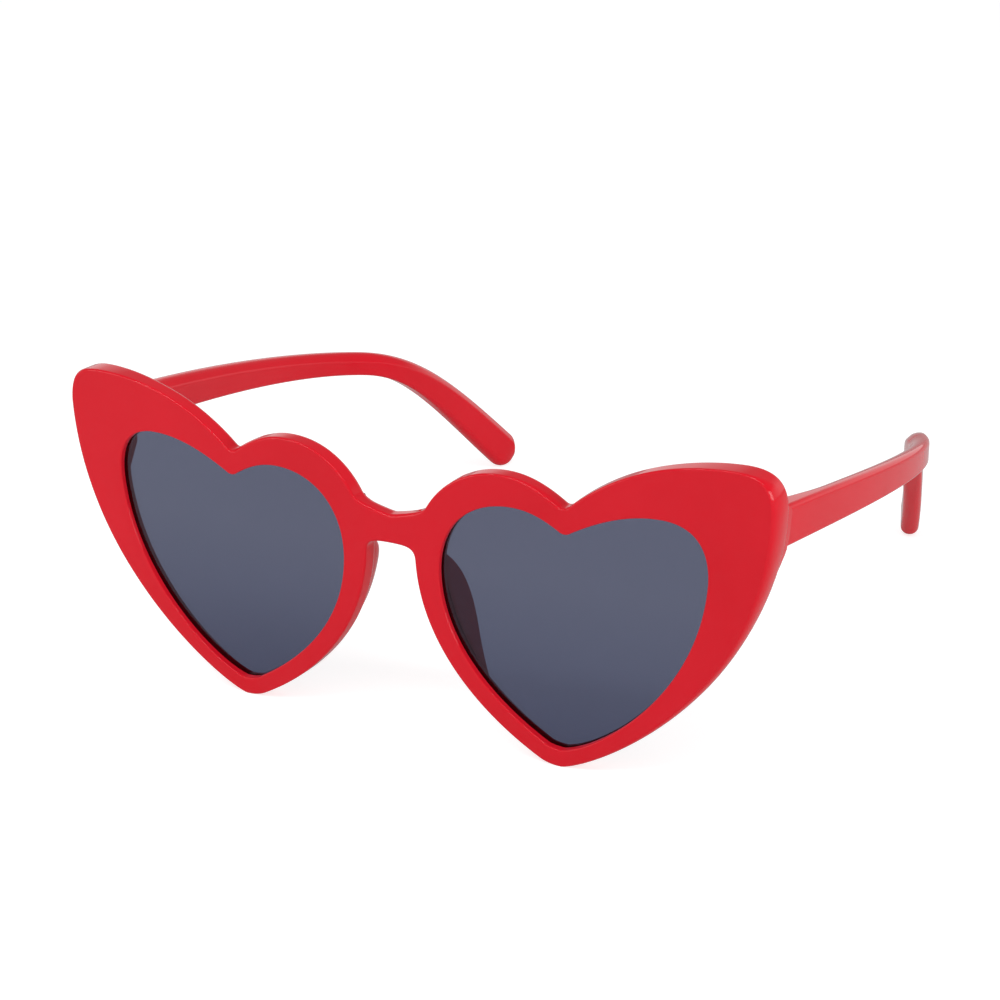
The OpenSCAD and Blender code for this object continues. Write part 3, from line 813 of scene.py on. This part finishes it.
leaf_dip = leaf_l * math.tan(math.radians(root_dip))
for side in ("left", "right"):
    bm = bmesh.new()
    plate = box(bm, (-web_half_w, -face_gap - leaf_t, hinge_z - leaf_h / 2),
                (leaf_l, -face_gap + leaf_proud, hinge_z + leaf_h / 2))
    for vert in plate:
        if vert.co.x > 0:
            vert.co.z = hinge_z + (vert.co.z - hinge_z) * leaf_taper - leaf_dip
    knuckle(bm, 1)
    for along in temple_peg_shares:
        peg_end(bm, leaf_l * along, hinge_z - leaf_dip * along)
    turn = Matrix.Rotation(math.radians(90 - splay), 3, "Z")
    bmesh.ops.rotate(bm, matrix=turn, verts=bm.verts)
    bmesh.ops.translate(bm, vec=(pin_x, pin_y, 0), verts=bm.verts)
    finish_metal(bm, "temple_hinge_" + side, hinge_steel, "arm_" + side, "temple_leaf_" + side,
                 side)


# The hinge screws: turned, brighter than the leaves, dropped in from above. Each head has a
# straight slot, and the shank's end shows under the lowest knuckle.
screw_r, head_r, head_h, slot_w, slot_d = 0.7, 1.2, 0.3, 0.4, 0.2
shank_in_head, half_sink = 0.2, 0.02
head_z = barrel_z + barrel_h + knuckle_gap / 2

screw_colours = (0.60, 0.59, 0.57), (0.74, 0.73, 0.71)
turned_scales, turned_gloss = (1800, 1800, 1800), (0.16, 0.30)
bright_screw, nodes, links, shader, place = new_material("bright_screw")
metal_marks(nodes, links, shader, place, turned_scales, screw_colours, turned_gloss)

for side in ("left", "right"):
    bm = bmesh.new()
    shank_top = head_z + shank_in_head
    shank = bmesh.ops.create_cone(bm, cap_ends=True, segments=32, radius1=screw_r,
                                  radius2=screw_r, depth=shank_top - barrel_z)
    bmesh.ops.translate(bm, vec=(0, 0, (shank_top + barrel_z) / 2), verts=shank["verts"])
    disc = bmesh.ops.create_cone(bm, cap_ends=True, segments=48, radius1=head_r,
                                 radius2=head_r, depth=head_h - slot_d)
    bmesh.ops.translate(bm, vec=(0, 0, head_z + (head_h - slot_d) / 2), verts=disc["verts"])
    for way in (-1, 1):
        half = bmesh.ops.create_circle(bm, cap_ends=True, segments=48, radius=head_r)["verts"]
        faces = list({f for v in half for f in v.link_faces})
        edges = list({e for v in half for e in v.link_edges})
        bmesh.ops.bisect_plane(bm, geom=half + edges + faces, plane_co=(0, way * slot_w / 2, 0),
                               plane_no=(0, -way, 0), clear_outer=True)
        flat = [f for f in bm.faces if all(abs(v.co.z) < same_spot for v in f.verts)]
        made = bmesh.ops.extrude_face_region(bm, geom=flat)
        bmesh.ops.translate(bm, vec=(0, 0, slot_d + half_sink), verts=new_verts(made))
        low = [v for v in bm.verts if v.co.z < barrel_z / 2]
        bmesh.ops.translate(bm, vec=(0, 0, head_z + head_h - slot_d - half_sink), verts=low)
    bmesh.ops.translate(bm, vec=(pin_x, pin_y, 0), verts=bm.verts)
    finish_metal(bm, "pivot_screw_" + side, bright_screw, "front", "hinge_screw_" + side,
                 side)


# The studio: a white floor that runs out of view, a long soft box overhead, a small one low on
# the left and a large one far to the right. The camera and the lenses see floor and room plain
# white. Mirror rays see a white sweep low round the table, and a dark room above it.
floor_half, floor_grey = 8, 0.5
floor_light, floor_in_mirror = 0.36, 0.2
room_light, sweep_white, room_dark = 0.45, 1.0, 0.3
sweep_end, dark_from = 0.22, 0.40
floor_glow = 0.75
lit_spot = Vector((0, -0.05, 0.03))


def plain_white(nodes, links, lighting, in_mirror):
    """1 for camera and lens rays, other shares for mirror rays and what lights the object."""
    rays = nodes.new("ShaderNodeLightPath").outputs
    mix = nodes.new("ShaderNodeMix")
    mix.inputs["A"].default_value = lighting
    links.new(rays["Is Glossy Ray"], mix.inputs["Factor"])
    links.new(in_mirror, mix.inputs["B"])
    seen = mix.outputs["Result"]
    for kind in ("Is Camera Ray", "Is Transmission Ray"):
        either = nodes.new("ShaderNodeMath")
        either.operation = "MAXIMUM"
        links.new(seen, either.inputs[0])
        links.new(rays[kind], either.inputs[1])
        seen = either.outputs["Value"]
    return seen


floor_white, nodes, links, shader, place = new_material("floor_white")
shader.inputs["Base Color"].default_value = (floor_grey, floor_grey, floor_grey, 1)
shader.inputs["Roughness"].default_value = 1
shader.inputs["Specular IOR Level"].default_value = 0
shader.inputs["Emission Color"].default_value = (1, 1, 1, 1)
in_mirror = nodes.new("ShaderNodeValue").outputs["Value"]
in_mirror.default_value = floor_in_mirror
glow = plain_white(nodes, links, floor_light, in_mirror)
links.new(spread(nodes, links, glow, 0, floor_glow, 0, 1), shader.inputs["Emission Strength"])
bm = bmesh.new()
bmesh.ops.create_grid(bm, x_segments=1, y_segments=1, size=floor_half)
mesh = bpy.data.meshes.new("floor")
bm.to_mesh(mesh)
bm.free()
mesh.materials.append(floor_white)
floor = bpy.data.objects.new("floor", mesh)
bpy.context.collection.objects.link(floor)

room = bpy.data.worlds.new("room")
room.use_nodes = True
bpy.context.scene.world = room
nodes, links = room.node_tree.nodes, room.node_tree.links
split = nodes.new("ShaderNodeSeparateXYZ")
links.new(nodes.new("ShaderNodeTexCoord").outputs["Generated"], split.inputs["Vector"])
sweep = spread(nodes, links, split.outputs["Z"], sweep_white, room_dark, sweep_end, dark_from)
nodes["Background"].inputs["Color"].default_value = (1, 1, 1, 1)
links.new(plain_white(nodes, links, room_light, sweep), nodes["Background"].inputs["Strength"])


def soft_box(name, at, size, power):
    """A rectangular lamp that faces the glasses and that the camera doesn't see."""
    lamp = bpy.data.lights.new(name, "AREA")
    lamp.shape = "RECTANGLE"
    lamp.size, lamp.size_y = size
    lamp.energy = power
    stand = bpy.data.objects.new(name, lamp)
    stand.visible_camera = False
    bpy.context.collection.objects.link(stand)
    at = Vector(at)
    aim = (lit_spot - at).to_track_quat("-Z", "Y")
    stand.matrix_world = Matrix.LocRotScale(at, aim, None)


soft_box("key_box", (0.12, -0.54, 0.84), (1.5, 0.14), 5.0)
soft_box("low_box", (-0.26, -0.32, 0.16), (0.16, 0.16), 0.17)
soft_box("side_box", (1.50, -0.20, 0.34), (1.0, 0.5), 7.6)
